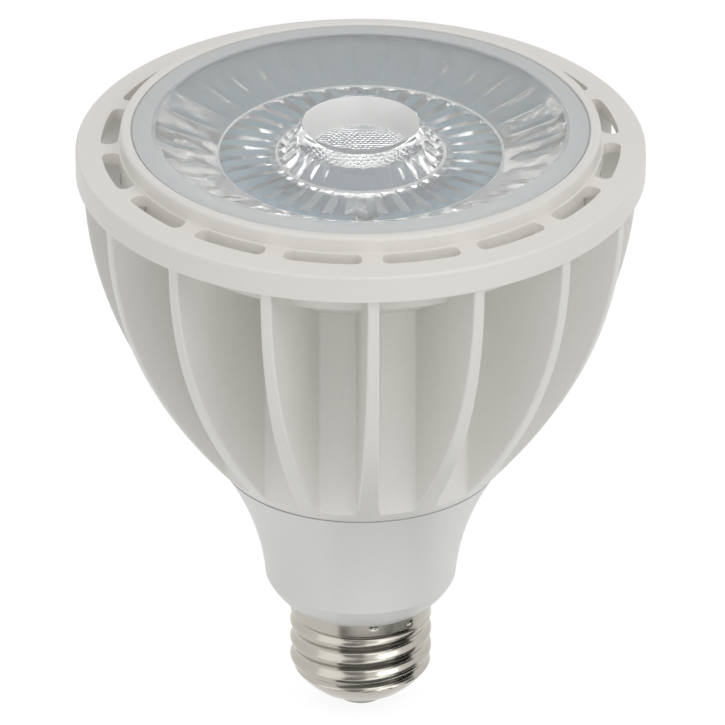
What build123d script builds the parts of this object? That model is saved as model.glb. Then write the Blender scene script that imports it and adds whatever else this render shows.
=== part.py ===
from build123d import *
import os
from math import asin, cos, pi, sin, sqrt

# LED par spotlight lamp on a medium Edison screw base, standing base down.
# Z is the lamp's axis, the origin is the tip of the centre contact, sizes are in millimetres.

# Screw base: a knuckle thread rolled into a thin shell
rim_band_radius = 13.1
thread_crest_radius = 13.08
thread_pitch = 3.63
thread_depth = 0.78
thread_turn = -77.0
thread_start_z = 8.0
thread_end_z = 18.4
shell_wall = 0.5
shell_top_z = 21.3
nose_radius = 8.8
nose_z = 3.2
nose_bulge = 0.45
contact_radius = 4.4
contact_height = 0.9
contact_edge = 0.6
insulator_land = 0.8
rivet_radius = 1.4
rivet_head_radius = 2.4
rivet_head_height = 0.8

# Plastic housing: spigot in the shell, collar below the seam, sleeve inside the heat sink
fit_clearance = 0.1
spigot_wall = 1.6
collar_foot_radius = 13.4
collar_waist_radius = 17.6
collar_waist_rise = 5.0
collar_corner_radius = 16.2
collar_corner_rise = 1.9
collar_flare = 0.95
housing_wall = 2.0
sleeve_radius = 23.5
sleeve_wall = 1.6
lid_thickness = 1.6
rail_thickness = 1.4
rail_depth = 2.4
screw_boss_radius = 2.7
screw_boss_height = 13.0

# Heat sink: a bell of straight fins round a hollow column, with a cup for the light on top
seam_z = 49.8
seam_radius = 25.7
seam_gap = 0.25
seam_depth = 0.7
fin_count = 16
fin_reach = 7.85
bell_fullness = 1.6
fin_tip_thickness = 2.1
fin_root_thickness = 4.1
flute_floor_radius = 27.8
flute_root_fillet = 0.8
fin_edge_round = 0.45
fin_root_depth = 1.6
platform_top_z = 100.0
platform_thickness = 6.0
cup_top_radius = 42.8
cup_flare = 2.8
cup_foot_rise = 7.3
cup_depth = 14.6
cup_wall = 2.0
cup_floor_radius = 27.6
cup_cone_height = 11.2

# Front bezel: a slotted ring with a raised lip over the lens
fin_clearance = 0.15
bezel_rim_wall = 1.3
bezel_height = 5.2
bezel_plate_drop = 0.4
bezel_plate_rise = 0.7
bezel_plate_thickness = 1.6
bezel_edge_round = 0.6
bezel_foot_round = 0.3
slot_outer_land = 4.6
slot_inner_land = 0.35
slot_bridge = 3.7
slot_corner = 1.3
lip_overlap = 0.55
lip_width = 1.9
lip_draft = 0.1
lip_rise = 0.6
lip_outer_round = 0.7
lip_inner_round = 0.35
lip_foot_fillet = 0.3
skirt_wall = 0.95
skirt_depth = 6.6

# Lens: a moulded optic that hangs from its flange
lens_flange_gap = 0.25
lens_flange_thickness = 2.8
lens_face_gap = 0.3
lens_edge_rise = 0.3
lens_crown_rise = 1.5
lens_facets = 36
lens_back_gap = 2.4
lens_back_swell = 1.3
lens_foot_inset = 1.7
lens_foot_gap = 0.2
well_mouth_radius = 10.7
well_floor_radius = 8.9
well_depth = 5.3
well_floor_dome = 0.5
cavity_mouth_radius = 15.0
cavity_roof_radius = 11.5
cavity_height = 6.7
cavity_roof_bulge = 1.5

# Light source on the platform
module_size = 19.0
pad_thickness = 0.5
substrate_thickness = 1.5
phosphor_radius = 7.0
phosphor_height = 0.6
holder_radius = 16.5
holder_thickness = 3.4
holder_mouth_radius = 10.5
holder_window_radius = 8.2
holder_screw_offset = 12.9

# Screws
screw_shank_radius = 1.5
screw_head_radius = 2.6
screw_head_height = 1.7
screw_clearance = 0.06
holder_screw_length = 6.0
housing_screw_inset = 3.3
housing_screw_length = 16.0

# Driver board, standing on edge in the sleeve, and its parts
board_y = -4.0
board_thickness = 1.6
board_top_gap = 4.3
board_side_gap = 0.3
tongue_width = 26.0
tongue_gap = 5.7
transformer_width = 17.0
transformer_height = 15.0
transformer_core_depth = 5.0
transformer_leg = 4.0
winding_depth = 11.0
winding_gap = 0.15
transformer_x = -7.0
transformer_drop = 15.0
bulk_capacitor_radius = 5.0
bulk_capacitor_length = 22.0
bulk_capacitor_x = 10.5
bulk_capacitor_drop = 29.5
output_capacitor_radius = 4.0
output_capacitor_length = 13.0
output_capacitor_x = -12.0
output_capacitor_drop = 36.4
can_edge = 0.6
film_capacitor_size = (9.0, 5.0, 8.0)
film_capacitor_x = -1.0
film_capacitor_drop = 13.0
bridge_size = (6.4, 2.4, 5.0)
bridge_x = 4.0
bridge_rise = 11.0
control_chip_size = (5.0, 1.5, 4.0)
control_chip_x = -7.0
control_chip_drop = 28.0
transistor_size = (6.6, 2.3, 6.1)
transistor_x = 7.0
transistor_drop = 26.0
choke_radius = 4.0
choke_length = 9.0
choke_x = 5.5
choke_rise = 14.0
fuse_radius = 1.8
fuse_length = 9.0
fuse_x = -9.5
fuse_rise = 2.0
varistor_radius = 3.5
varistor_thickness = 3.2
varistor_x = -1.6
varistor_rise = 9.0

# Wires
wire_radius = 0.6
wire_bend = 1.8
wire_hole_radius = 1.0
led_wire_x = 7.0
led_wire_inset = 2.4
led_wire_tail = 6.0
base_wire_x = 7.0
base_wire_tail = 4.0
neutral_exit_z = 15.0

# Sizes that follow from the ones above
thread_root_radius = thread_crest_radius - thread_depth
shell_bore_radius = thread_root_radius - shell_wall
spigot_radius = shell_bore_radius - fit_clearance
spigot_bore_radius = spigot_radius - spigot_wall
spigot_bottom_z = thread_start_z + rivet_head_height + 2 * fit_clearance
collar_waist_z = shell_top_z + collar_waist_rise
collar_corner_z = shell_top_z + collar_corner_rise
collar_floor_z = shell_top_z + housing_wall
sleeve_bore_radius = sleeve_radius - sleeve_wall
cavity_top_z = platform_top_z - platform_thickness
sleeve_top_z = cavity_top_z - lid_thickness - fit_clearance
fin_half_step = pi / fin_count
fin_top_radius = cup_top_radius + fin_reach
fin_split_radius = flute_floor_radius + fin_root_depth
cup_foot_radius = cup_top_radius - cup_flare
cup_foot_z = cavity_top_z + cup_foot_rise
cup_bore_radius = cup_top_radius - cup_wall
cup_slope = cup_foot_rise / (cup_foot_radius - flute_floor_radius)
fin_split_z = cavity_top_z + (fin_split_radius - flute_floor_radius) * cup_slope
module_top_z = platform_top_z + pad_thickness + substrate_thickness
holder_top_z = platform_top_z + holder_thickness
lens_flange_z = platform_top_z + cup_depth
lens_flange_top_z = lens_flange_z + lens_flange_thickness
lens_flange_radius = cup_top_radius - lens_flange_gap
lens_edge_z = lens_flange_top_z + lens_edge_rise
lens_crown_z = lens_edge_z + lens_crown_rise
lens_back_top_radius = cup_bore_radius - lens_back_gap
lens_foot_radius = cup_floor_radius - lens_foot_inset
lens_foot_z = holder_top_z + lens_foot_gap
well_floor_z = lens_crown_z - well_depth
cavity_roof_z = lens_foot_z + cavity_height
bezel_radius = fin_top_radius + fin_clearance + bezel_rim_wall
bezel_plate_z = lens_flange_z - bezel_plate_drop
bezel_bottom_z = bezel_plate_z - bezel_height
fin_top_z = bezel_plate_z - bezel_plate_thickness
skirt_bore_radius = cup_top_radius + fit_clearance
skirt_radius = skirt_bore_radius + skirt_wall
skirt_bottom_z = lens_flange_z - skirt_depth
lip_inner_radius = lens_flange_radius - lip_overlap
lip_foot_radius = lip_inner_radius + lip_width + lip_draft
lip_top_z = lens_flange_top_z + lip_rise
lens_face_radius = lip_inner_radius - lens_face_gap
slot_inner_radius = lip_foot_radius + slot_inner_land
slot_outer_radius = bezel_radius - slot_outer_land
led_wire_z = module_top_z - substrate_thickness / 2
led_wire_y = sqrt((sleeve_bore_radius - led_wire_inset) ** 2 - led_wire_x**2)
screw_hole_radius = screw_shank_radius + screw_clearance
housing_screw_offset = sleeve_bore_radius - housing_screw_inset
housing_screw_seat_z = platform_top_z - screw_head_height - fit_clearance
board_front_y = board_y + board_thickness / 2
board_back_y = board_y - board_thickness / 2
board_half_width = sqrt(sleeve_bore_radius**2 - board_back_y**2) - board_side_gap
board_top_z = sleeve_top_z - board_top_gap
tongue_bottom_z = collar_floor_z + tongue_gap
upright = (Align.CENTER, Align.CENTER, Align.MIN)
facing_front = Rot(90, 0, 0)


def turned(*edges):
    """Spin a closed outline, drawn as (radius, height), round the lamp's axis."""
    return revolve(Plane.XZ * make_face(edges), Axis.Z)


def turned_corners(*corners):
    """Spin an outline of (radius, height, corner rounding) points."""
    points = [(radius, height) for radius, height, _ in corners]
    rounding = [corner for _, _, corner in corners]
    return turned(FilletPolyline(*points, radius=rounding, close=True))


def rod(radius, low, high, x=0.0, y=0.0):
    return Pos(x, y, low) * Cylinder(radius, high - low, align=upright)


def slab(x_size, y_size, low, high, x=0.0, y=0.0):
    return Pos(x, y, low) * Box(x_size, y_size, high - low, align=upright)


# Screw base

def nose_curve(start, end):
    return SagittaArc(start, end, nose_bulge)


def shell_inside():
    mouth = (nose_radius - shell_wall, nose_z)
    throat = (shell_bore_radius, thread_start_z)
    return [
        nose_curve(mouth, throat),
        mouth,
        throat,
    ]


def thread_section():
    """One knuckle of the thread: a round crest that runs into round roots."""
    quarter = thread_pitch / 4
    curve = (thread_pitch**2 / 4 + thread_depth**2) / (4 * thread_depth)
    edge = thread_pitch * 5 / 12
    edge_rise = curve - sqrt(curve**2 - (thread_pitch / 2 - edge) ** 2)
    middle = (quarter + edge) / 2
    middle_rise = curve - sqrt(curve**2 - (thread_pitch / 2 - middle) ** 2)
    flank = thread_depth / 2
    return make_face(
        [
            ThreePointArc((flank, -quarter), (thread_depth, 0), (flank, quarter)),
            ThreePointArc((flank, quarter), (middle_rise, middle), (edge_rise, edge)),
            Polyline(
                (edge_rise, edge), (-shell_wall / 2, edge), (-shell_wall / 2, -edge), (edge_rise, -edge)
            ),
            ThreePointArc((edge_rise, -edge), (middle_rise, -middle), (flank, -quarter)),
        ]
    )


def screw_shell():
    run_in = thread_pitch / 2
    low = thread_start_z - run_in
    path = Pos(0, 0, low) * Helix(thread_pitch, thread_end_z + run_in - low, thread_root_radius)
    start = Plane(origin=path @ 0, x_dir=(1, 0, 0), z_dir=path % 0)
    knuckle = Rot(0, 0, thread_turn) * sweep(start * thread_section(), path, is_frenet=True)
    core = rod(thread_root_radius + thread_depth / 16, nose_z, shell_top_z)
    band = rod(rim_band_radius, thread_end_z, shell_top_z)
    throat = (rim_band_radius, thread_start_z)
    envelope = turned(
        nose_curve((nose_radius, nose_z), throat),
        Polyline(
            throat,
            (rim_band_radius, shell_top_z),
            (0, shell_top_z),
            (0, nose_z),
            (nose_radius, nose_z),
        ),
    )
    curve, mouth, bore = shell_inside()
    inside = turned(
        curve,
        Polyline(bore, (shell_bore_radius, shell_top_z), (0, shell_top_z), (0, nose_z), mouth),
    )
    return ((core + knuckle + band) & envelope) - inside


def base_insulator():
    curve, mouth, bore = shell_inside()
    plug = turned(
        curve,
        Polyline(
            bore,
            (0, thread_start_z),
            (0, contact_height),
            (contact_radius + insulator_land, contact_height),
            mouth,
        ),
    )
    return plug - rod(rivet_radius, 0, thread_start_z)


def centre_contact():
    button = turned_corners(
        (0, 0, 0),
        (contact_radius, 0, contact_edge),
        (contact_radius, contact_height, 0),
        (0, contact_height, 0),
    )
    stem = rod(rivet_radius, contact_height, thread_start_z)
    clinch = rod(rivet_head_radius, thread_start_z, thread_start_z + rivet_head_height)
    return button + stem + clinch


# Housing

def driver_housing():
    waist = (collar_waist_radius, collar_waist_z)
    middle_z = (collar_waist_z + seam_z) / 2
    shell = turned(
        Polyline(
            (spigot_bore_radius, spigot_bottom_z),
            (spigot_radius, spigot_bottom_z),
            (spigot_radius, shell_top_z),
            (collar_foot_radius, shell_top_z),
        ),
        Bezier((collar_foot_radius, shell_top_z), (collar_corner_radius, collar_corner_z), waist),
        Bezier(waist, (collar_waist_radius + collar_flare, middle_z), (seam_radius, seam_z)),
        Polyline(
            (seam_radius, seam_z),
            (sleeve_radius, seam_z),
            (sleeve_radius, sleeve_top_z),
            (sleeve_bore_radius, sleeve_top_z),
            (sleeve_bore_radius, seam_z),
        ),
        Bezier(
            (sleeve_bore_radius, seam_z),
            (collar_waist_radius + collar_flare - housing_wall, middle_z),
            (collar_waist_radius - housing_wall, collar_waist_z),
        ),
        Polyline(
            (collar_waist_radius - housing_wall, collar_waist_z),
            (spigot_bore_radius, collar_floor_z),
            (spigot_bore_radius, spigot_bottom_z),
        ),
    )
    inner = rod(sleeve_bore_radius + sleeve_wall / 2, seam_z, sleeve_top_z)
    shell += inner & board_rails()
    for side in (-1, 1):
        y = side * housing_screw_offset
        boss = rod(screw_boss_radius, sleeve_top_z - screw_boss_height, sleeve_top_z, y=y)
        web_depth = sleeve_bore_radius - housing_screw_offset
        web = slab(
            screw_boss_radius,
            web_depth,
            sleeve_top_z - screw_boss_height,
            sleeve_top_z,
            y=side * (housing_screw_offset + web_depth / 2),
        )
        shell += (boss + web) & inner
        shell -= rod(screw_hole_radius, sleeve_top_z - screw_boss_height, sleeve_top_z, y=y)
    neutral_hole = Pos(-spigot_radius, 0, neutral_exit_z) * Rot(0, 90, 0)
    return shell - neutral_hole * Cylinder(wire_radius + fit_clearance, 2 * spigot_wall + 1)


def board_rails():
    """Guides on both sides of the sleeve that hold the board by its edges."""
    slot = board_thickness + 2 * fit_clearance
    low = seam_z
    rails = slab(2 * sleeve_radius, slot + 2 * rail_thickness, low, board_top_z, y=board_y)
    rails -= slab(2 * (board_half_width + board_side_gap - rail_depth), 2 * sleeve_radius, low, board_top_z)
    stop_z = seam_z + rail_thickness
    return rails - slab(2 * (board_half_width + fit_clearance), slot, stop_z, board_top_z, y=board_y)


def housing_lid():
    lid = rod(sleeve_radius, sleeve_top_z, sleeve_top_z + lid_thickness)
    for side in (-1, 1):
        lid -= rod(screw_hole_radius, sleeve_top_z, cavity_top_z, y=side * housing_screw_offset)
        lid -= rod(wire_hole_radius, sleeve_top_z, cavity_top_z, x=side * led_wire_x, y=led_wire_y)
    return lid


# Heat sink

def flute_half_width(distance, fin_thickness):
    """Half the width that a flute has where the fins beside it are this thick."""
    return (distance * sin(fin_half_step) - fin_thickness / 2) / cos(fin_half_step)


def flute_section():
    floor_half = flute_half_width(flute_floor_radius, fin_root_thickness)
    mouth_half = flute_half_width(fin_top_radius, fin_tip_thickness)
    spread = (mouth_half - floor_half) / (fin_top_radius - flute_floor_radius)
    past = fin_top_radius + fin_tip_thickness
    past_half = floor_half + spread * (past - flute_floor_radius)
    section = Polygon(
        (flute_floor_radius, -floor_half),
        (past, -past_half),
        (past, past_half),
        (flute_floor_radius, floor_half),
        align=None,
    )
    return fillet(section.vertices().group_by(Axis.X)[0], flute_root_fillet)


def bell():
    lower_edge = seam_z + seam_gap
    return turned(
        Bezier(
            (seam_radius, lower_edge),
            (fin_top_radius, (seam_z + bezel_bottom_z) / 2 - bell_fullness),
            (fin_top_radius, bezel_bottom_z),
        ),
        Polyline(
            (fin_top_radius, bezel_bottom_z),
            (fin_top_radius, fin_top_z),
            (0, fin_top_z),
            (0, seam_z),
            (seam_radius - seam_depth, seam_z),
            (seam_radius - seam_depth, lower_edge),
            (seam_radius, lower_edge),
        ),
    )


def cup_blank():
    """The cup's outside, with nothing taken out of it yet."""
    return turned(
        Polyline(
            (0, cavity_top_z),
            (flute_floor_radius, cavity_top_z),
            (cup_foot_radius, cup_foot_z),
            (cup_top_radius, skirt_bottom_z),
            (cup_top_radius, lens_flange_z),
            (0, lens_flange_z),
            (0, cavity_top_z),
        )
    )


def heat_sink():
    """The column, with the roots of the fins, and the cup on top of it."""
    column = bell() & rod(fin_split_radius, seam_z, fin_split_z)
    flutes = [
        Pos(0, 0, seam_z) * extrude(place * flute_section(), fin_top_z - seam_z)
        for place in PolarLocations(0, fin_count, start_angle=180 / fin_count)
    ]
    inside = turned(
        Polyline(
            (0, platform_top_z),
            (cup_floor_radius, platform_top_z),
            (cup_bore_radius, platform_top_z + cup_cone_height),
            (cup_bore_radius, lens_flange_z),
            (0, lens_flange_z),
            (0, platform_top_z),
        )
    )
    sink = column - flutes + cup_blank() - inside
    sink -= rod(sleeve_radius + fit_clearance, seam_z, cavity_top_z)
    for side in (-1, 1):
        screw_y = side * housing_screw_offset
        sink -= rod(screw_hole_radius, cavity_top_z, platform_top_z, y=screw_y)
        head_room = screw_head_radius + 4 * fit_clearance
        sink -= rod(head_room, housing_screw_seat_z, platform_top_z, y=screw_y)
        sink -= rod(wire_hole_radius, cavity_top_z, platform_top_z, x=side * led_wire_x, y=led_wire_y)
        hole_bottom = holder_screw_seat_z() - holder_screw_length - fit_clearance
        sink -= rod(screw_hole_radius, hole_bottom, platform_top_z, x=side * holder_screw_offset)
    return sink


def fin_corner(distance, thickness):
    """Where a fin's side is as far out as this along the middle of the flute beside it."""
    reach = distance * cos(fin_half_step) + flute_half_width(distance, thickness) * sin(fin_half_step)
    return reach, thickness / 2


def heat_sink_fins():
    """The fins outside the column and the cup, each with its outer edges rounded."""
    root_x, root_y = fin_corner(flute_floor_radius, fin_root_thickness)
    tip_x, tip_y = fin_corner(fin_top_radius, fin_tip_thickness)
    plan = Polygon((root_x, -root_y), (tip_x, -tip_y), (tip_x, tip_y), (root_x, root_y), align=None)
    blade = bell() & Pos(0, 0, seam_z) * extrude(plan, fin_top_z - seam_z)
    side_edges = blade.edges().filter_by(GeomType.CIRCLE, reverse=True)
    outer_edges = [edge for edge in side_edges if (edge @ 0.5).X > (root_x + tip_x) / 2]
    blade = fillet(outer_edges, fin_edge_round)
    blade -= rod(fin_split_radius, seam_z, fin_top_z)
    blade -= cup_blank()
    blade -= rod(skirt_radius + fit_clearance, skirt_bottom_z - fit_clearance, fin_top_z)
    return [place * blade.solid() for place in PolarLocations(0, fin_count)]


# Front bezel

def slot_corner_turn(radius):
    """Angle from the middle of a slot to its end, beside a bridge that has parallel sides."""
    return fin_half_step - asin(slot_bridge / 2 / radius)


def slot_end(radius, side):
    turn = side * slot_corner_turn(radius)
    return radius * cos(turn), radius * sin(turn)


def slot_arc(radius):
    turn = slot_corner_turn(radius) * 180 / pi
    return CenterArc((0, 0), radius, -turn, 2 * turn)


def vent_slot():
    ends = [Line(slot_end(slot_inner_radius, side), slot_end(slot_outer_radius, side)) for side in (-1, 1)]
    slot = make_face([slot_arc(slot_inner_radius), slot_arc(slot_outer_radius), *ends])
    return fillet(slot.vertices(), slot_corner)


def front_bezel():
    ring = turned_corners(
        (bezel_radius, bezel_bottom_z, bezel_foot_round),
        (bezel_radius, bezel_plate_z, bezel_edge_round),
        (lip_foot_radius, bezel_plate_z + bezel_plate_rise, lip_foot_fillet),
        (lip_foot_radius - lip_draft, lip_top_z, lip_outer_round),
        (lip_inner_radius, lip_top_z, lip_inner_round),
        (lip_inner_radius, lens_flange_top_z, 0),
        (skirt_bore_radius, lens_flange_top_z, 0),
        (skirt_bore_radius, skirt_bottom_z, 0),
        (skirt_radius, skirt_bottom_z, 0),
        (skirt_radius, fin_top_z, 0),
        (bezel_radius - bezel_rim_wall, fin_top_z, 0),
        (bezel_radius - bezel_rim_wall, bezel_bottom_z, 0),
    )
    slots = [
        Pos(0, 0, fin_top_z) * extrude(place * vent_slot(), lip_top_z - fin_top_z)
        for place in PolarLocations(0, fin_count, start_angle=180 / fin_count)
    ]
    return ring - slots


# Lens

def lens():
    face = turned(
        Polyline(
            (0, lens_flange_z),
            (lens_flange_radius, lens_flange_z),
            (lens_flange_radius, lens_flange_top_z),
            (lens_face_radius, lens_flange_top_z),
            (lens_face_radius, lens_edge_z),
        ),
        Bezier((lens_face_radius, lens_edge_z), (lens_face_radius / 2, lens_crown_z), (0, lens_crown_z)),
        Line((0, lens_crown_z), (0, lens_flange_z)),
    )
    middle_radius = (lens_foot_radius + lens_back_top_radius) / 2 + lens_back_swell
    middle_z = (lens_foot_z + lens_flange_z) / 2
    levels = [
        (lens_foot_radius, lens_foot_z),
        (middle_radius, middle_z),
        (lens_back_top_radius, lens_flange_z),
    ]
    back = loft([Pos(0, 0, z) * RegularPolygon(radius, lens_facets) for radius, z in levels], ruled=True)
    well = turned(
        Bezier((well_floor_radius, well_floor_z), (well_floor_radius / 2, well_floor_z + well_floor_dome),
               (0, well_floor_z + well_floor_dome)),
        Polyline(
            (0, well_floor_z + well_floor_dome),
            (0, lens_crown_z),
            (well_mouth_radius, lens_crown_z),
            (well_floor_radius, well_floor_z),
        ),
    )
    cavity = turned(
        Polyline(
            (0, cavity_roof_z - cavity_roof_bulge),
            (0, lens_foot_z),
            (cavity_mouth_radius, lens_foot_z),
            (cavity_roof_radius, cavity_roof_z),
        ),
        Bezier(
            (cavity_roof_radius, cavity_roof_z),
            (cavity_roof_radius / 2, cavity_roof_z - cavity_roof_bulge),
            (0, cavity_roof_z - cavity_roof_bulge),
        ),
    )
    return face + back - well - cavity


# Light source

def thermal_pad():
    return slab(module_size, module_size, platform_top_z, platform_top_z + pad_thickness)


def led_substrate():
    return slab(module_size, module_size, platform_top_z + pad_thickness, module_top_z)


def led_phosphor():
    return rod(phosphor_radius, module_top_z, module_top_z + phosphor_height)


def holder_screw_seat_z():
    return holder_top_z - screw_head_height - fit_clearance


def led_holder():
    disc = rod(holder_radius, platform_top_z, holder_top_z)
    pocket = module_size + 2 * fit_clearance
    disc -= slab(pocket, pocket, platform_top_z, module_top_z)
    disc -= turned(
        Polyline(
            (0, platform_top_z),
            (holder_window_radius, platform_top_z),
            (holder_window_radius, module_top_z),
            (holder_mouth_radius, holder_top_z),
            (0, holder_top_z),
            (0, platform_top_z),
        )
    )
    for side in (-1, 1):
        x = side * holder_screw_offset
        disc -= rod(screw_hole_radius, platform_top_z, holder_top_z, x=x)
        disc -= rod(screw_head_radius + 2 * fit_clearance, holder_screw_seat_z(), holder_top_z, x=x)
        disc -= slab(
            2 * (wire_radius + fit_clearance),
            holder_radius,
            platform_top_z,
            led_wire_z + wire_radius + fit_clearance,
            x=side * led_wire_x,
            y=(module_size + holder_radius) / 2,
        )
    return disc


def screw(seat_z, length, x=0.0, y=0.0):
    shank = rod(screw_shank_radius, seat_z - length, seat_z, x, y)
    head = rod(screw_head_radius, seat_z, seat_z + screw_head_height, x, y)
    head = fillet(head.edges().group_by(Axis.Z)[-1], screw_head_height / 2)
    return shank + head


def holder_screws():
    seat = holder_screw_seat_z()
    return [screw(seat, holder_screw_length, x=side * holder_screw_offset) for side in (-1, 1)]


def housing_screws():
    length = housing_screw_length
    return [screw(housing_screw_seat_z, length, y=side * housing_screw_offset) for side in (-1, 1)]


# Driver board and what is on it

def driver_board():
    shoulder_z = seam_z + rail_thickness
    outline = Polyline(
        (-tongue_width / 2, tongue_bottom_z),
        (tongue_width / 2, tongue_bottom_z),
        (tongue_width / 2, shoulder_z),
        (board_half_width, shoulder_z),
        (board_half_width, board_top_z),
        (-board_half_width, board_top_z),
        (-board_half_width, shoulder_z),
        (-tongue_width / 2, shoulder_z),
        (-tongue_width / 2, tongue_bottom_z),
    )
    sheet = extrude(Plane.XZ * make_face(outline), board_thickness)
    return Pos(0, board_front_y, 0) * sheet


def on_front(size, place):
    return Pos(place[0], board_front_y + size[1] / 2, place[1]) * Box(*size)


def on_back(size, place):
    return Pos(place[0], board_back_y - size[1] / 2, place[1]) * Box(*size)


def can(radius, length, x, low_z):
    """A round can lying along the board, with rounded rims."""
    body = Cylinder(radius, length, align=upright)
    body = fillet(body.edges().filter_by(GeomType.CIRCLE), can_edge)
    return Pos(x, board_front_y + radius, low_z) * body


def standing(radius, length, place):
    """A round part standing off the board's front face."""
    middle_y = board_front_y + length / 2
    return Pos(place[0], middle_y, place[1]) * facing_front * Cylinder(radius, length)


def transformer_at():
    return Pos(transformer_x, board_front_y + winding_depth / 2, board_top_z - transformer_drop)


def transformer_window():
    """Width and height of each of the two windows that the winding fills."""
    width = (transformer_width - 3 * transformer_leg) / 2
    return width, transformer_height - 2 * transformer_leg / 1.5


def transformer_core():
    width, height = transformer_window()
    core = Box(transformer_width, transformer_core_depth, transformer_height)
    offset = (transformer_leg + width) / 2
    for side in (-1, 1):
        core -= Pos(side * offset, 0, 0) * Box(width, transformer_core_depth, height)
    return transformer_at() * core


def transformer_winding():
    width, height = transformer_window()
    outer = transformer_leg + 2 * width - 2 * winding_gap
    coil = Box(outer, winding_depth, height - 2 * winding_gap)
    coil = fillet(coil.edges().filter_by(Axis.Z), outer / 5)
    leg_room = transformer_leg + 2 * winding_gap
    return transformer_at() * (coil - Box(leg_room, transformer_core_depth + 2 * winding_gap, height))


def input_choke():
    rim = choke_length / 6
    drum_z = tongue_bottom_z + choke_rise
    drum = standing(choke_radius, choke_length, (choke_x, drum_z))
    core_radius = choke_radius * 0.8
    waist = facing_front * Cylinder(choke_radius, choke_length - 2 * rim)
    waist -= facing_front * Cylinder(core_radius, choke_length)
    return drum - Pos(choke_x, board_front_y + choke_length / 2, drum_z) * waist


def fuse_resistor():
    body = Cylinder(fuse_radius, fuse_length, align=upright)
    body = fillet(body.edges().filter_by(GeomType.CIRCLE), fuse_radius / 2)
    return Pos(fuse_x, board_front_y + fuse_radius, tongue_bottom_z + fuse_rise) * body


# Wires

def wire(*points):
    path = FilletPolyline(*points, radius=wire_bend)
    start = Plane(origin=path @ 0, z_dir=path % 0)
    return sweep(start * Circle(wire_radius), path)


def led_wire(side):
    """From the board's front face, up through lid and platform, along the holder to the module."""
    x = side * led_wire_x
    face_y = board_front_y + wire_radius
    turn_z = sleeve_top_z - screw_boss_height / 3
    return wire(
        (x, face_y, board_top_z - led_wire_tail),
        (x, face_y, board_top_z - led_wire_tail / 3),
        (x, led_wire_y, turn_z),
        (x, led_wire_y, led_wire_z),
        (x, module_size / 2, led_wire_z),
    )


def line_wire():
    face_y = board_front_y + wire_radius
    rivet_top = thread_start_z + rivet_head_height
    return wire(
        (0, 0, rivet_top),
        (0, 0, shell_top_z),
        (base_wire_x / 2, face_y, tongue_bottom_z - base_wire_tail / 2),
        (base_wire_x / 2, face_y, tongue_bottom_z + base_wire_tail),
    )


def neutral_wire():
    face_y = board_front_y + wire_radius
    return wire(
        (-base_wire_x, face_y, tongue_bottom_z + base_wire_tail),
        (-base_wire_x, face_y, tongue_bottom_z - base_wire_tail / 2),
        (-base_wire_x, 0, shell_top_z),
        (-base_wire_x, 0, neutral_exit_z),
        (-sqrt(shell_bore_radius**2 - wire_radius**2), 0, neutral_exit_z),
    )


pieces = {
    "screw_shell": screw_shell(),
    "base_insulator": base_insulator(),
    "centre_contact": centre_contact(),
    "driver_housing": driver_housing(),
    "housing_lid": housing_lid(),
    "housing_screws": housing_screws(),
    "heat_sink": heat_sink(),
    "heat_sink_fins": heat_sink_fins(),
    "front_bezel": front_bezel(),
    "lens": lens(),
    "thermal_pad": thermal_pad(),
    "led_substrate": led_substrate(),
    "led_phosphor": led_phosphor(),
    "led_holder": led_holder(),
    "holder_screws": holder_screws(),
    "driver_board": driver_board(),
    "transformer_core": transformer_core(),
    "transformer_winding": transformer_winding(),
    "bulk_capacitor": can(
        bulk_capacitor_radius,
        bulk_capacitor_length,
        bulk_capacitor_x,
        board_top_z - bulk_capacitor_drop,
    ),
    "output_capacitor": can(
        output_capacitor_radius,
        output_capacitor_length,
        output_capacitor_x,
        board_top_z - output_capacitor_drop,
    ),
    "film_capacitor": on_back(film_capacitor_size, (film_capacitor_x, board_top_z - film_capacitor_drop)),
    "bridge_rectifier": on_back(bridge_size, (bridge_x, tongue_bottom_z + bridge_rise)),
    "control_chip": on_back(control_chip_size, (control_chip_x, board_top_z - control_chip_drop)),
    "switching_transistor": on_back(transistor_size, (transistor_x, board_top_z - transistor_drop)),
    "input_choke": input_choke(),
    "fuse_resistor": fuse_resistor(),
    "varistor": standing(
        varistor_radius, varistor_thickness, (varistor_x, tongue_bottom_z + varistor_rise)
    ),
    "led_wire_positive": led_wire(1),
    "led_wire_negative": led_wire(-1),
    "line_wire": line_wire(),
    "neutral_wire": neutral_wire(),
}

os.makedirs("parts", exist_ok=True)
for name, piece in pieces.items():
    solids = piece if isinstance(piece, list) else piece.solids()
    export_step(Compound(children=list(solids), label=name), os.path.join("parts", name + ".step"))
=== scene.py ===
import math
from collections import namedtuple

import bmesh
import bpy
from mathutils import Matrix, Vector, noise


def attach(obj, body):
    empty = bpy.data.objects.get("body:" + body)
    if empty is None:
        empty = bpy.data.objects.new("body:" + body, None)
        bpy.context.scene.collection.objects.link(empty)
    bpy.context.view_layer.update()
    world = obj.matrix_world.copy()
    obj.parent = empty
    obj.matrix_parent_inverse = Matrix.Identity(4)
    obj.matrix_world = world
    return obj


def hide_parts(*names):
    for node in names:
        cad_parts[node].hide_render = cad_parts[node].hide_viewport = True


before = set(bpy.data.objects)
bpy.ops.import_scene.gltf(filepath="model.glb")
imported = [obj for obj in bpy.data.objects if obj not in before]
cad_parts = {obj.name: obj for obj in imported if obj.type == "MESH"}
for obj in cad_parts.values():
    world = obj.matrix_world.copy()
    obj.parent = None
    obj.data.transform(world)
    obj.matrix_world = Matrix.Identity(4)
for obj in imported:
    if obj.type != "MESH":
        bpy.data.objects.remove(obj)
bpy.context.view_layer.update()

# Sizes below are in millimetres, as in the part's source, and a finished mesh is scaled to metres.
MILLIMETRE = 0.001
TOUCH = 0.01
SLACK = 0.1

# Cup in the heat sink
CUP_FLOOR_Z = 99.95
CUP_TOP_Z = 114.55

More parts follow.
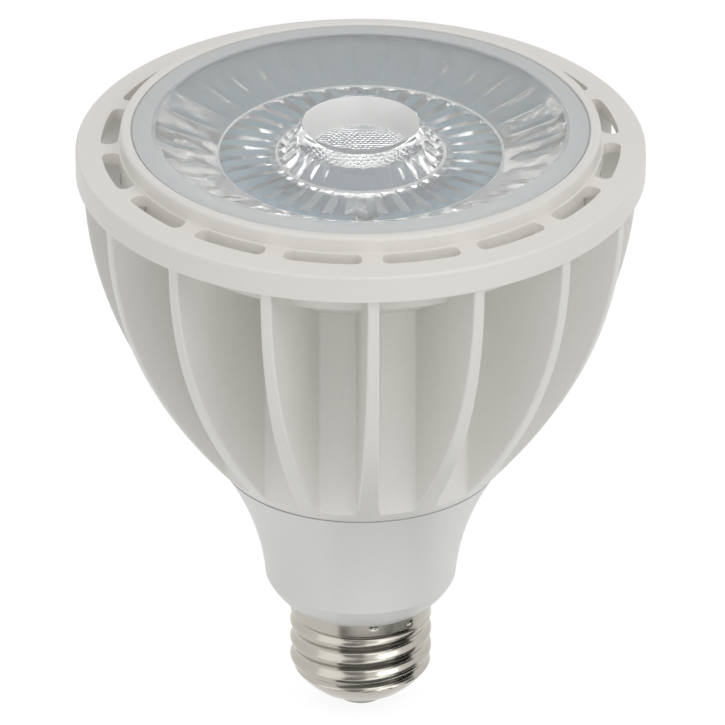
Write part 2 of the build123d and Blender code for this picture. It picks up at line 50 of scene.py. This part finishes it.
# Lens
LENS_FLANGE_RADIUS = 42.55
LENS_FLANGE_Z = 114.6
LENS_FLANGE_TOP_Z = 117.4
LENS_FACE_RADIUS = 41.7
LENS_EDGE_Z = 117.7
LENS_CROWN_Z = 119.2
LENS_BACK_TOP_RADIUS = 38.4
LENS_BACK_SWELL = 1.3
LENS_BACK_SLACK = 0.5
LENS_FOOT_RADIUS = 25.9
LENS_FOOT_Z = 103.6
LENS_SEAT_GAP = 0.04
WELL_MOUTH_RADIUS = 10.7
WELL_LAND = 0.3
WELL_BRIM = 0.25
WELL_BRIM_RISE = 0.02
WELL_BRIM_DRAFT = 0.08
WELL_FLOOR_RADIUS = 8.9
WELL_FLOOR_Z = 113.9
WELL_FLOOR_DOME = 0.5
CAVITY_MOUTH_RADIUS = 15.0
CAVITY_ROOF_RADIUS = 11.5
CAVITY_ROOF_Z = 110.3
CAVITY_ROOF_BULGE = 1.5
FROST_RADIUS = 38.3
MIST_RADIUS = 37.5
# Width of the chamfers at the foot's edges and the cavity mouth, which carry a painted highlight
HIGHLIGHT_CHAMFER = 0.45
PETALS = 36
PETAL_RIDGE = 0.75
CRUMPLE_RISE = 0.3
CRUMPLE_SIZE = 6.0
FOOT_GROOVE = 0.6
FOOT_GROOVE_RUNOUT = 1.6
CAVITY_PETAL_RISE = 0.25
STEPS_PER_PETAL = 6
ROW_STEPS = 8
FLOOR_CELL = 0.95
FLOOR_CELL_RISE = 0.09
FLOOR_RINGS = 48
FACE_RINGS = 60
ROOF_RINGS = 16

# Screw shell
BAND_RADIUS = 13.1
THREAD_CREST_RADIUS = 13.08
THREAD_ROOT_RADIUS = 12.3
THREAD_PITCH = 3.63
THREAD_CREST_Z = 6.185
THREAD_TURN = -77 / 360
THREAD_START_Z = 8.0
THREAD_END_Z = 18.4
SHELL_TOP_Z = 21.3
SHELL_WALL = 0.5
NOSE_RADIUS = 8.8
NOSE_Z = 3.2
NOSE_BULGE = 0.45
THREAD_STEPS = 240
THREAD_LEVELS = 150
THREAD_FADE = 0.6
NOSE_FADE = 0.8
CRIMP_DEPTH = 0.35
CRIMP_SPREAD = 0.6
# Bearing in degrees and height of each punch mark
CRIMPS = ((-82.0, 20.7), (-49.0, 19.9), (98.0, 20.7))


def linear(red, green, blue):
    """A screen colour, 0 to 255, as the linear colour that a shader takes."""
    parts = []
    for value in (red, green, blue):
        v = value / 255
        parts.append(v / 12.92 if v <= 0.04045 else ((v + 0.055) / 1.055) ** 2.4)
    return (*parts, 1.0)


# Range of the noise that grain is made from
GRAIN_LOW = 0.3
GRAIN_HIGH = 0.7
ACRYLIC_IOR = 1.49

# Grain of a surface: scale per metre, bump depth in metres, bump strength, spread of roughness, of colour
Grain = namedtuple("Grain", "scale depth strength spread shade")
SPRAYED = Grain(1400, 0.0002, 0.12, 0.05, 0.012)
CAST = Grain(1200, 0.0002, 0.1, 0.08, 0.03)
MOULDED = Grain(900, 0.0002, 0.06, 0.04, 0.008)
POLISHED = Grain(300, 0.0001, 0.02, 0.005, 0.0)
RIPPLED = Grain(240, 0.0006, 0.3, 0.02, 0.0)
FROSTED = Grain(1600, 0.0002, 0.1, 0.06, 0.01)
PLATED = Grain(420, 0.0003, 0.05, 0.04, 0.02)
TURNED = Grain(900, 0.0002, 0.08, 0.06, 0.03)
PRESSED = Grain(1500, 0.0002, 0.2, 0.08, 0.06)
DIPPED = Grain(400, 0.0003, 0.12, 0.06, 0.03)


def shaded(colour, share):
    """A colour made darker or lighter by a share."""
    return (*(part * share for part in colour[:3]), 1.0)


def finish(name, colour, roughness, grain, metallic=0.0, **sockets):
    """A finish whose grain gives its bump and the small changes of its roughness and colour."""
    material = bpy.data.materials.new(name)
    material.use_nodes = True
    nodes = material.node_tree.nodes
    links = material.node_tree.links
    shader = nodes["Principled BSDF"]
    shader.inputs["Base Color"].default_value = colour
    shader.inputs["Metallic"].default_value = metallic
    for socket, value in sockets.items():
        shader.inputs[socket.replace("_", " ")].default_value = value
    place = nodes.new("ShaderNodeTexCoord")
    pattern = nodes.new("ShaderNodeTexNoise")
    pattern.inputs["Scale"].default_value = grain.scale
    links.new(place.outputs["Object"], pattern.inputs["Vector"])
    polish = nodes.new("ShaderNodeMapRange")
    polish.inputs["From Min"].default_value = GRAIN_LOW
    polish.inputs["From Max"].default_value = GRAIN_HIGH
    polish.inputs["To Min"].default_value = roughness - grain.spread
    polish.inputs["To Max"].default_value = roughness + grain.spread
    links.new(pattern.outputs["Fac"], polish.inputs["Value"])
    links.new(polish.outputs["Result"], shader.inputs["Roughness"])
    bump = nodes.new("ShaderNodeBump")
    bump.inputs["Distance"].default_value = grain.depth
    bump.inputs["Strength"].default_value = grain.strength
    links.new(pattern.outputs["Fac"], bump.inputs["Height"])
    links.new(bump.outputs["Normal"], shader.inputs["Normal"])
    if grain.shade:
        tint = nodes.new("ShaderNodeValToRGB")
        low, high = tint.color_ramp.elements
        low.position, high.position = GRAIN_LOW, GRAIN_HIGH
        low.color = shaded(colour, 1 - grain.shade)
        high.color = shaded(colour, 1 + grain.shade)
        links.new(pattern.outputs["Fac"], tint.inputs["Fac"])
        links.new(tint.outputs["Color"], shader.inputs["Base Color"])
    return material


def acrylic(name, colour, roughness, grain, clearness):
    """A finish of the lens, from milky at a clearness of 0 to clear at 1."""
    return finish(name, colour, roughness, grain, Transmission_Weight=clearness, IOR=ACRYLIC_IOR)


white_paint = finish(
    "white_paint", linear(234, 233, 228), 0.4, SPRAYED, Coat_Weight=0.12, Coat_Roughness=0.3
)
# Darker blue-grey for the inside of the cup under the lens: painted shade of that recess
cup_shade_grey = finish("cup_shade_grey", linear(144, 175, 190), 0.5, CAST)
bezel_plastic = finish("bezel_plastic", linear(236, 233, 228), 0.38, MOULDED)
collar_plastic = finish("collar_plastic", linear(233, 233, 231), 0.36, MOULDED)
clear_acrylic = acrylic("clear_acrylic", (1.0, 1.0, 1.0, 1.0), 0.005, POLISHED, 1.0)
rippled_acrylic = acrylic("rippled_acrylic", linear(254, 253, 249), 0.06, RIPPLED, 0.62)
grooved_acrylic = acrylic("grooved_acrylic", linear(254, 254, 252), 0.03, POLISHED, 0.76)
frosted_acrylic = acrylic("frosted_acrylic", linear(220, 223, 223), 0.55, FROSTED, 0.2)
misted_acrylic = acrylic("misted_acrylic", linear(228, 232, 233), 0.4, FROSTED, 0.6)
# Milky white for the well wall and the foot's edge chamfers: painted highlight standing in for
# reflections of the lamps
painted_highlight_acrylic = acrylic("painted_highlight_acrylic", linear(254, 254, 253), 0.3, POLISHED, 0.1)
nickel = finish("nickel", linear(182, 178, 169), 0.22, PLATED, metallic=1.0)
black_glass = finish("black_glass", linear(28, 28, 30), 0.2, POLISHED)
contact_metal = finish("contact_metal", linear(150, 148, 144), 0.35, TURNED, metallic=1.0)
module_face = finish("module_face", linear(225, 226, 228), 0.4, PRESSED)
phosphor_gel = finish("phosphor_gel", linear(226, 216, 176), 0.25, DIPPED)
# Grey-blue holder, tinted like the cup: painted shade seen through the lens
holder_shade_grey = finish("holder_shade_grey", linear(188, 196, 204), 0.5, MOULDED)
pad_rubber = finish("pad_rubber", linear(150, 156, 164), 0.8, PRESSED)
screw_steel = finish("screw_steel", linear(190, 190, 188), 0.3, TURNED, metallic=1.0)
board_green = finish("board_green", linear(40, 118, 62), 0.45, MOULDED)
ferrite = finish("ferrite", linear(62, 62, 66), 0.7, PRESSED)
winding_tape = finish("winding_tape", linear(222, 190, 60), 0.35, DIPPED)
capacitor_sleeve = finish("capacitor_sleeve", linear(34, 38, 56), 0.3, DIPPED)
film_case = finish("film_case", linear(170, 62, 44), 0.3, DIPPED)
chip_black = finish("chip_black", linear(34, 34, 34), 0.5, MOULDED)
fuse_coat = finish("fuse_coat", linear(84, 140, 100), 0.5, DIPPED)
varistor_coat = finish("varistor_coat", linear(44, 88, 168), 0.3, DIPPED)
wire_red = finish("wire_red", linear(170, 34, 34), 0.5, MOULDED)
wire_black = finish("wire_black", linear(34, 34, 34), 0.5, MOULDED)
wire_white = finish("wire_white", linear(228, 228, 224), 0.5, MOULDED)

node_finish = {
    "heat_sink": white_paint,
    "heat_sink_fins": white_paint,
    "front_bezel": bezel_plastic,
    "lens": clear_acrylic,
    "driver_housing": collar_plastic,
    "housing_lid": collar_plastic,
    "screw_shell": nickel,
    "base_insulator": black_glass,
    "centre_contact": contact_metal,
    "led_substrate": module_face,
    "led_phosphor": phosphor_gel,
    "led_holder": holder_shade_grey,
    "thermal_pad": pad_rubber,
    "holder_screws": screw_steel,
    "housing_screws": screw_steel,
    "driver_board": board_green,
    "transformer_core": ferrite,
    "transformer_winding": winding_tape,
    "bulk_capacitor": capacitor_sleeve,
    "output_capacitor": capacitor_sleeve,
    "film_capacitor": film_case,
    "bridge_rectifier": chip_black,
    "control_chip": chip_black,
    "switching_transistor": chip_black,
    "input_choke": ferrite,
    "fuse_resistor": fuse_coat,
    "varistor": varistor_coat,
    "led_wire_positive": wire_red,
    "led_wire_negative": wire_black,
    "line_wire": wire_black,
    "neutral_wire": wire_white,
}


def dress_nodes():
    """Gives each CAD node its finish."""
    for node, material in node_finish.items():
        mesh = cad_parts[node].data
        mesh.materials.clear()
        mesh.materials.append(material)


def shade_the_cup():
    """Gives the walls and the floor of the cup under the lens a darker blue-grey, painted shade of that
    recess.
    """
    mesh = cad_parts["heat_sink"].data
    mesh.materials.append(cup_shade_grey)
    for face in mesh.polygons:
        in_cup = CUP_FLOOR_Z * MILLIMETRE < face.center.z < CUP_TOP_Z * MILLIMETRE
        faces_axis = face.normal.to_2d().dot(face.center.to_2d()) < 1e-6
        if in_cup and faces_axis and face.normal.z > -TOUCH:
            face.material_index = 1


def bend(start, middle, end, count):
    """Points of a quadratic curve from start, drawn towards middle, to end."""
    points = []
    for i in range(count + 1):
        t = i / count
        first, second, third = (1 - t) ** 2, 2 * t * (1 - t), t * t
        points.append(tuple(first * a + second * b + third * c for a, b, c in zip(start, middle, end)))
    return points


def straight(start, end, count):
    """Points at even steps from start to end."""
    return [tuple(a + (b - a) * i / count for a, b in zip(start, end)) for i in range(count + 1)]


def joined(*runs):
    """Runs of points one after another, without the repeated ones."""
    points = []
    for run in runs:
        for point in run:
            if not points or math.dist(points[-1], point) > 1e-6:
                points.append(point)
    return points


def spun(profile, steps, closed=False):
    """A profile of (radius, height) points turned round the Z axis."""
    bm = bmesh.new()
    chain = [bm.verts.new((radius, 0.0, height)) for radius, height in profile]
    edges = [bm.edges.new(pair) for pair in zip(chain, chain[1:])]
    if closed:
        edges.append(bm.edges.new((chain[-1], chain[0])))
    bmesh.ops.spin(
        bm,
        geom=chain + edges,
        cent=(0, 0, 0),
        axis=(0, 0, 1),
        angle=2 * math.pi,
        steps=steps,
        use_merge=True,
    )
    bmesh.ops.remove_doubles(bm, verts=bm.verts, dist=1e-4)
    return bm


def add_object(name, bm, materials):
    """A bmesh in millimetres as an object of the scene, in metres."""
    bmesh.ops.scale(bm, vec=(MILLIMETRE,) * 3, verts=bm.verts)
    mesh = bpy.data.meshes.new(name)
    bm.to_mesh(mesh)
    bm.free()
    for material in materials:
        mesh.materials.append(material)
    obj = bpy.data.objects.new(name, mesh)
    bpy.context.collection.objects.link(obj)
    return obj


def add_piece(name, bm, materials, node, sharp):
    """A piece of the bulb that takes the place of a CAD node."""
    bmesh.ops.recalc_face_normals(bm, faces=bm.faces)
    for face in bm.faces:
        face.smooth = True
    for edge in bm.edges:
        if edge.calc_face_angle(0.0) > math.radians(sharp):
            edge.smooth = False
    obj = add_object(name, bm, materials)
    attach(obj, "root")
    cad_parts[node].hide_render = True
    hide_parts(node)


def set_radius(vert, radius):
    """Moves a vertex straight out from the axis, or in, to a radius."""
    share = radius / vert.co.to_2d().length
    vert.co.x *= share
    vert.co.y *= share


def turns(vert):
    """Bearing of a vertex from the axis, as a share of a full turn."""
    return math.atan2(vert.co.y, vert.co.x) / (2 * math.pi)


def smooth_step(low, high, value):
    """0 below low, 1 above high, and a smooth climb between them."""
    t = min(1.0, max(0.0, (value - low) / (high - low)))
    return t * t * (3 - 2 * t)


def pillow(along, across):
    """Height of a pillow-shaped facet, from 0 at its borders to 1 in its middle."""
    u = 2 * (along % 1.0) - 1
    v = 2 * (across % 1.0) - 1
    return (1 - u * u) * (1 - v * v)


def lens_outline():
    """Half section of the lens from the roof of its cavity round to the middle of the well."""
    seat_z = LENS_FLANGE_Z + LENS_SEAT_GAP
    edge = HIGHLIGHT_CHAMFER
    foot_in = (CAVITY_MOUTH_RADIUS + edge, LENS_FOOT_Z)
    foot_out = (LENS_FOOT_RADIUS - edge, LENS_FOOT_Z)
    back_foot = (LENS_FOOT_RADIUS, LENS_FOOT_Z + edge)
    back_middle = (
        (LENS_FOOT_RADIUS + LENS_BACK_TOP_RADIUS) / 2 + LENS_BACK_SWELL,
        (LENS_FOOT_Z + LENS_FLANGE_Z) / 2,
    )
    back_top = (LENS_BACK_TOP_RADIUS, seat_z)
    roof = (CAVITY_ROOF_RADIUS, CAVITY_ROOF_Z)
    roof_low = CAVITY_ROOF_Z - CAVITY_ROOF_BULGE
    mouth = (CAVITY_MOUTH_RADIUS, LENS_FOOT_Z + edge)
    face_edge = (LENS_FACE_RADIUS, LENS_EDGE_Z)
    face = bend(face_edge, (LENS_FACE_RADIUS / 2, LENS_CROWN_Z), (0.0, LENS_CROWN_Z), FACE_RINGS)
    face = [point for point in face if point[0] > WELL_MOUTH_RADIUS + WELL_LAND]
    brim_z = face[-1][1] + WELL_BRIM_RISE
    brim_top = (WELL_MOUTH_RADIUS + WELL_BRIM, brim_z)
    brim = (WELL_MOUTH_RADIUS - WELL_BRIM_DRAFT, brim_z - WELL_BRIM)
    floor_edge = (WELL_FLOOR_RADIUS, WELL_FLOOR_Z)
    floor_high = WELL_FLOOR_Z + WELL_FLOOR_DOME
    return joined(
        bend((0.0, roof_low), (CAVITY_ROOF_RADIUS / 2, roof_low), roof, ROOF_RINGS),
        straight(roof, mouth, ROW_STEPS),
        straight(mouth, foot_in, 1),
        straight(foot_in, foot_out, ROW_STEPS),
        straight(foot_out, back_foot, 1),
        straight(back_foot, back_middle, ROW_STEPS),
        straight(back_middle, back_top, ROW_STEPS),
        straight(back_top, (LENS_FLANGE_RADIUS, seat_z), 2),
        [(LENS_FLANGE_RADIUS, LENS_FLANGE_TOP_Z), (LENS_FACE_RADIUS, LENS_FLANGE_TOP_Z)],
        face,
        bend(brim_top, (WELL_MOUTH_RADIUS, brim_z), brim, 3),
        straight(brim, floor_edge, 4),
        bend(floor_edge, (WELL_FLOOR_RADIUS / 2, floor_high), (0.0, floor_high), FLOOR_RINGS),
    )


def on_lens_back(radius, height):
    between = LENS_FOOT_Z + HIGHLIGHT_CHAMFER - TOUCH < height < LENS_FLANGE_Z + SLACK
    return between and radius > LENS_FOOT_RADIUS - LENS_BACK_SLACK


def on_lens_foot(radius, height):
    between = CAVITY_MOUTH_RADIUS + HIGHLIGHT_CHAMFER < radius < LENS_FOOT_RADIUS - HIGHLIGHT_CHAMFER
    return between and height < LENS_FOOT_Z + TOUCH


def on_cavity_wall(radius, height):
    between = LENS_FOOT_Z + HIGHLIGHT_CHAMFER < height < CAVITY_ROOF_Z
    return between and CAVITY_ROOF_RADIUS < radius < CAVITY_MOUTH_RADIUS


def on_well_floor(radius, height):
    return radius < WELL_FLOOR_RADIUS - TOUCH and height > WELL_FLOOR_Z


def on_well_wall(radius, height):
    return WELL_FLOOR_RADIUS - SLACK < radius < WELL_MOUTH_RADIUS and height > WELL_FLOOR_Z


def petal_radius(place, radius, turn):
    """Radius of the back between a straight cone and its swell, hollowed in the middle of each petal."""
    foot_z = LENS_FOOT_Z + HIGHLIGHT_CHAMFER
    climb = min(1.0, (place.z - foot_z) / (LENS_FLANGE_Z - foot_z))
    cone = LENS_FOOT_RADIUS + (LENS_BACK_TOP_RADIUS - LENS_FOOT_RADIUS) * climb
    hollow = (cone - radius) * (1 - PETAL_RIDGE * (2 * (turn % 1.0) - 1) ** 4)
    crumple = CRUMPLE_RISE * noise.noise(place / CRUMPLE_SIZE) * (1 - (2 * climb - 1) ** 4)
    return radius + hollow + crumple


def groove_height(radius, turn):
    """Height of the V grooves of the foot, which run out at its two edges."""
    inset = min(radius - CAVITY_MOUTH_RADIUS, LENS_FOOT_RADIUS - radius) - HIGHLIGHT_CHAMFER
    runout = smooth_step(0.0, FOOT_GROOVE_RUNOUT, inset)
    return FOOT_GROOVE * runout * (1 - abs(2 * (turn % 1.0) - 1))


def cell_height(place):
    """Height of the small pillow cells on the well floor, in staggered rows."""
    row = place.y / (FLOOR_CELL * math.sqrt(3) / 2)
    cell = place.x / FLOOR_CELL + 0.5 * (math.floor(row) % 2)
    return FLOOR_CELL_RISE * pillow(cell, row)


def shape_lens(bm):
    """Hollows the back into petals, grooves the foot, swells the cavity wall and raises the cells."""
    for vert in bm.verts:
        radius = vert.co.to_2d().length
        height = vert.co.z
        turn = turns(vert) * PETALS
        if on_lens_back(radius, height) and radius < LENS_BACK_TOP_RADIUS + TOUCH:
            set_radius(vert, petal_radius(vert.co, radius, turn))
        elif on_lens_foot(radius, height):
            vert.co.z += groove_height(radius, turn)
        elif on_cavity_wall(radius, height):
            climb = (height - LENS_FOOT_Z) / (CAVITY_ROOF_Z - LENS_FOOT_Z)
            set_radius(vert, radius - CAVITY_PETAL_RISE * pillow(turn, climb))
        elif on_well_floor(radius, height):
            vert.co.z += cell_height(vert.co)


def lens_finish(radius, height):
    """The acrylic that shows at a place of the lens."""
    foot_z = LENS_FOOT_Z + HIGHLIGHT_CHAMFER
    on_face = height > LENS_FLANGE_Z
    on_edge = radius > LENS_FOOT_RADIUS - HIGHLIGHT_CHAMFER
    on_mouth = CAVITY_MOUTH_RADIUS < radius < CAVITY_MOUTH_RADIUS + HIGHLIGHT_CHAMFER
    if on_face and radius > FROST_RADIUS:
        return frosted_acrylic
    # The well wall and the edge chamfers get the painted highlight
    if on_well_wall(radius, height) or (height < foot_z and (on_edge or on_mouth)):
        return painted_highlight_acrylic
    if on_lens_back(radius, height):
        return rippled_acrylic
    if on_face and radius > MIST_RADIUS:
        return misted_acrylic
    if radius > CAVITY_MOUTH_RADIUS and height < foot_z + FOOT_GROOVE:
        return grooved_acrylic
    return clear_acrylic


def build_lens():
    """The lens with its petals, grooves and cells, each zone in its own acrylic."""
    materials = (
        clear_acrylic,
        frosted_acrylic,
        painted_highlight_acrylic,
        rippled_acrylic,
        misted_acrylic,
        grooved_acrylic,
    )
    bm = spun(lens_outline(), PETALS * STEPS_PER_PETAL)
    shape_lens(bm)
    for face in bm.faces:
        place = face.calc_center_median()
        face.material_index = materials.index(lens_finish(place.to_2d().length, place.z))
    add_piece("lens_optic", bm, materials, "lens", sharp=14)


def nose_radius(height):
    """Outer radius of the rounded nose between the contact's insulator and the thread."""
    t = (height - NOSE_Z) / (THREAD_START_Z - NOSE_Z)
    return NOSE_RADIUS + (BAND_RADIUS - NOSE_RADIUS) * t + 4 * NOSE_BULGE * t * (1 - t)


def crimp_depth(angle, height):
    """How far the punch marks push the rim band in at this place."""
    depth = 0.0
    for crimp_angle, crimp_z in CRIMPS:
        across = math.radians(angle - crimp_angle) * BAND_RADIUS
        reach = math.hypot(across, height - crimp_z) / CRIMP_SPREAD
        if reach < 1:
            depth += CRIMP_DEPTH * (1 - reach * reach) ** 2
    return depth


def thread_radius(turn, height):
    """Outer radius of the shell: a knuckle thread that fades into the band above and the nose below."""
    wave = math.cos(2 * math.pi * ((height - THREAD_CREST_Z) / THREAD_PITCH - turn + THREAD_TURN))
    knuckle = THREAD_ROOT_RADIUS + (THREAD_CREST_RADIUS - THREAD_ROOT_RADIUS) * (1 + wave) / 2
    band = smooth_step(THREAD_END_Z - THREAD_FADE, THREAD_END_Z + THREAD_FADE, height)
    radius = knuckle + (BAND_RADIUS - knuckle) * band
    if height < THREAD_START_Z + NOSE_FADE:
        radius = min(radius, nose_radius(min(height, THREAD_START_Z)))
    return radius


def build_screw_shell():
    """The plated shell: a plain tube, pushed in to its thread, nose and punch marks."""
    outside = straight((BAND_RADIUS, NOSE_Z), (BAND_RADIUS, SHELL_TOP_Z), THREAD_LEVELS)
    bore = THREAD_ROOT_RADIUS - SHELL_WALL
    inside = [(bore, SHELL_TOP_Z), (bore, THREAD_START_Z), (NOSE_RADIUS - SHELL_WALL, NOSE_Z)]
    bm = spun(outside + inside, THREAD_STEPS, closed=True)
    for vert in bm.verts:
        if vert.co.to_2d().length > BAND_RADIUS - TOUCH:
            turn = turns(vert)
            height = vert.co.z
            set_radius(vert, thread_radius(turn, height) - crimp_depth(turn * 360, height))
    add_piece("threaded_shell", bm, (nickel,), "screw_shell", sharp=35)


# Stage: a white floor and dark cards for the plating to mirror, in millimetres
WORLD_STRENGTH = 0.48
FLOOR_GLOW = 0.9
FLOOR_HALF = 6000.0
GREY_CARD_STRENGTH = 0.18
BLACK_CARD_STRENGTH = 0.02
FRONT_CARD_STRENGTH = 0.3
CARD_LIFT = 0.3
CARD_INNER_RADIUS = 16.0
GREY_CARD_RADIUS = 60.0
GREY_CARD_BEARINGS = (236, 314)
BLACK_CARD_RADIUS = 47.0
BLACK_CARD_BEARINGS = (314, 350)
BLACK_SCREEN_HEIGHTS = (3, 20)
FRONT_CARD_Y = -300
FRONT_CARD_SIDES = (-200, 15)
FRONT_CARD_HEIGHTS = (15, 250)

# Lamps and camera, in metres and degrees
LAMP_TARGET = Vector((0, 0, 0.07))
CAMERA_TARGET = Vector((0, 0, 0.069464))
CAMERA_AZIMUTH = -2.65
CAMERA_ELEVATION = 27.9
CAMERA_DISTANCE = 3.0
CAMERA_LENS = 810.2
CAMERA_SHIFT = 0.0025
SENSOR_WIDTH = 36.0


def seen_directly(nodes, links):
    """1 for rays from the camera, from a mirror-like surface or through glass, else 0."""
    path = nodes.new("ShaderNodeLightPath")
    first = nodes.new("ShaderNodeMath")
    first.operation = "MAXIMUM"
    links.new(path.outputs["Is Camera Ray"], first.inputs[0])
    links.new(path.outputs["Is Glossy Ray"], first.inputs[1])
    second = nodes.new("ShaderNodeMath")
    second.operation = "MAXIMUM"
    links.new(first.outputs["Value"], second.inputs[0])
    links.new(path.outputs["Is Transmission Ray"], second.inputs[1])
    return second.outputs["Value"]


def set_world():
    """White where it is seen, and a softer level where it only lights."""
    world = bpy.data.worlds.new("studio")
    bpy.context.scene.world = world
    world.use_nodes = True
    nodes = world.node_tree.nodes
    links = world.node_tree.links
    soft = nodes["Background"]
    soft.inputs["Color"].default_value = (1.0, 1.0, 1.0, 1.0)
    soft.inputs["Strength"].default_value = WORLD_STRENGTH
    white = nodes.new("ShaderNodeBackground")
    white.inputs["Color"].default_value = (1.0, 1.0, 1.0, 1.0)
    white.inputs["Strength"].default_value = 1.0
    mix = nodes.new("ShaderNodeMixShader")
    links.new(seen_directly(nodes, links), mix.inputs["Fac"])
    links.new(soft.outputs["Background"], mix.inputs[1])
    links.new(white.outputs["Background"], mix.inputs[2])
    links.new(mix.outputs["Shader"], nodes["World Output"].inputs["Surface"])


def add_floor():
    """A floor that looks white and keeps the bulb's shadow."""
    material = bpy.data.materials.new("white_floor")
    material.use_nodes = True
    nodes = material.node_tree.nodes
    links = material.node_tree.links
    nodes.remove(nodes["Principled BSDF"])
    matte = nodes.new("ShaderNodeBsdfDiffuse")
    matte.inputs["Color"].default_value = (0.8, 0.8, 0.8, 1.0)
    faint = nodes.new("ShaderNodeBsdfDiffuse")
    faint.inputs["Color"].default_value = (0.2, 0.2, 0.2, 1.0)
    glow = nodes.new("ShaderNodeEmission")
    glow.inputs["Strength"].default_value = FLOOR_GLOW
    pale = nodes.new("ShaderNodeAddShader")
    links.new(faint.outputs["BSDF"], pale.inputs[0])
    links.new(glow.outputs["Emission"], pale.inputs[1])
    mix = nodes.new("ShaderNodeMixShader")
    links.new(seen_directly(nodes, links), mix.inputs["Fac"])
    links.new(matte.outputs["BSDF"], mix.inputs[1])
    links.new(pale.outputs["Shader"], mix.inputs[2])
    links.new(mix.outputs["Shader"], nodes["Material Output"].inputs["Surface"])
    bm = bmesh.new()
    bmesh.ops.create_grid(bm, x_segments=1, y_segments=1, size=FLOOR_HALF)
    add_object("floor", bm, (material,))


def add_reflected_card(name, corners, strength):
    """A dark card, its corners in millimetres, that only mirror-like surfaces see."""
    material = bpy.data.materials.new(name)
    material.use_nodes = True
    nodes = material.node_tree.nodes
    nodes.remove(nodes["Principled BSDF"])
    shade = nodes.new("ShaderNodeEmission")
    shade.inputs["Strength"].default_value = strength
    surface = nodes["Material Output"].inputs["Surface"]
    material.node_tree.links.new(shade.outputs["Emission"], surface)
    bm = bmesh.new()
    bm.faces.new([bm.verts.new(corner) for corner in corners])
    card = add_object(name, bm, (material,))
    card.visible_camera = False
    card.visible_diffuse = False
    card.visible_transmission = False
    card.visible_shadow = False


def around(radius, bearing, height):
    """A place at a distance and bearing from the bulb's axis."""
    angle = math.radians(bearing)
    return (radius * math.cos(angle), radius * math.sin(angle), height)


def add_floor_card(name, outer, bearings, strength):
    """A card that lies round part of the base, between two bearings."""
    first, last = bearings
    corners = (
        around(CARD_INNER_RADIUS, first, CARD_LIFT),
        around(outer, first, CARD_LIFT),
        around(outer, last, CARD_LIFT),
        around(CARD_INNER_RADIUS, last, CARD_LIFT),
    )
    add_reflected_card(name, corners, strength)


def add_black_screen():
    """Stands at the far edge of the black card."""
    first, last = BLACK_CARD_BEARINGS
    low, high = BLACK_SCREEN_HEIGHTS
    corners = (
        around(BLACK_CARD_RADIUS, first, low),
        around(BLACK_CARD_RADIUS, last, low),
        around(BLACK_CARD_RADIUS, last, high),
        around(BLACK_CARD_RADIUS, first, high),
    )
    add_reflected_card("black_screen", corners, BLACK_CARD_STRENGTH)


def add_front_card():
    """Stands far in front of the base."""
    left, right = FRONT_CARD_SIDES
    low, high = FRONT_CARD_HEIGHTS
    corners = (
        (left, FRONT_CARD_Y, low),
        (right, FRONT_CARD_Y, low),
        (right, FRONT_CARD_Y, high),
        (left, FRONT_CARD_Y, high),
    )
    add_reflected_card("front_card", corners, FRONT_CARD_STRENGTH)


def add_softbox(name, place, size, power):
    """A soft lamp, in metres, turned to the middle of the bulb."""
    light = bpy.data.lights.new(name, "AREA")
    light.shape = "RECTANGLE"
    light.size, light.size_y = size
    light.energy = power
    lamp = bpy.data.objects.new(name, light)
    lamp.location = place
    lamp.rotation_mode = "QUATERNION"
    lamp.rotation_quaternion = (LAMP_TARGET - Vector(place)).to_track_quat("-Z", "Y")
    bpy.context.collection.objects.link(lamp)


def add_camera():
    data = bpy.data.cameras.new("camera")
    data.sensor_width = SENSOR_WIDTH
    data.lens = CAMERA_LENS
    data.shift_x = CAMERA_SHIFT
    data.clip_start = 0.1
    data.clip_end = 50.0
    camera = bpy.data.objects.new("camera", data)
    azimuth = math.radians(CAMERA_AZIMUTH)
    elevation = math.radians(CAMERA_ELEVATION)
    back = Vector(
        (
            math.sin(azimuth) * math.cos(elevation),
            -math.cos(azimuth) * math.cos(elevation),
            math.sin(elevation),
        )
    )
    camera.location = CAMERA_TARGET + CAMERA_DISTANCE * back
    camera.rotation_mode = "QUATERNION"
    camera.rotation_quaternion = (-back).to_track_quat("-Z", "Y")
    bpy.context.collection.objects.link(camera)
    bpy.context.scene.camera = camera


dress_nodes()
shade_the_cup()
build_lens()
build_screw_shell()
set_world()
add_floor()
add_floor_card("grey_card", GREY_CARD_RADIUS, GREY_CARD_BEARINGS, GREY_CARD_STRENGTH)
add_floor_card("black_card", BLACK_CARD_RADIUS, BLACK_CARD_BEARINGS, BLACK_CARD_STRENGTH)
add_black_screen()
add_front_card()
add_softbox("key_softbox", (0.9, -1.0, 1.1), (0.9, 0.9), 5.6)
add_softbox("fill_softbox", (-1.1, -0.9, 0.7), (1.5, 1.5), 3.4)
add_softbox("top_softbox", (0.0, 0.3, 1.5), (1.0, 1.0), 3.0)
add_softbox("front_softbox", (0.4, -1.4, 0.2), (1.0, 0.5), 2.0)
add_camera()
bpy.context.scene.view_settings.view_transform = "Standard"
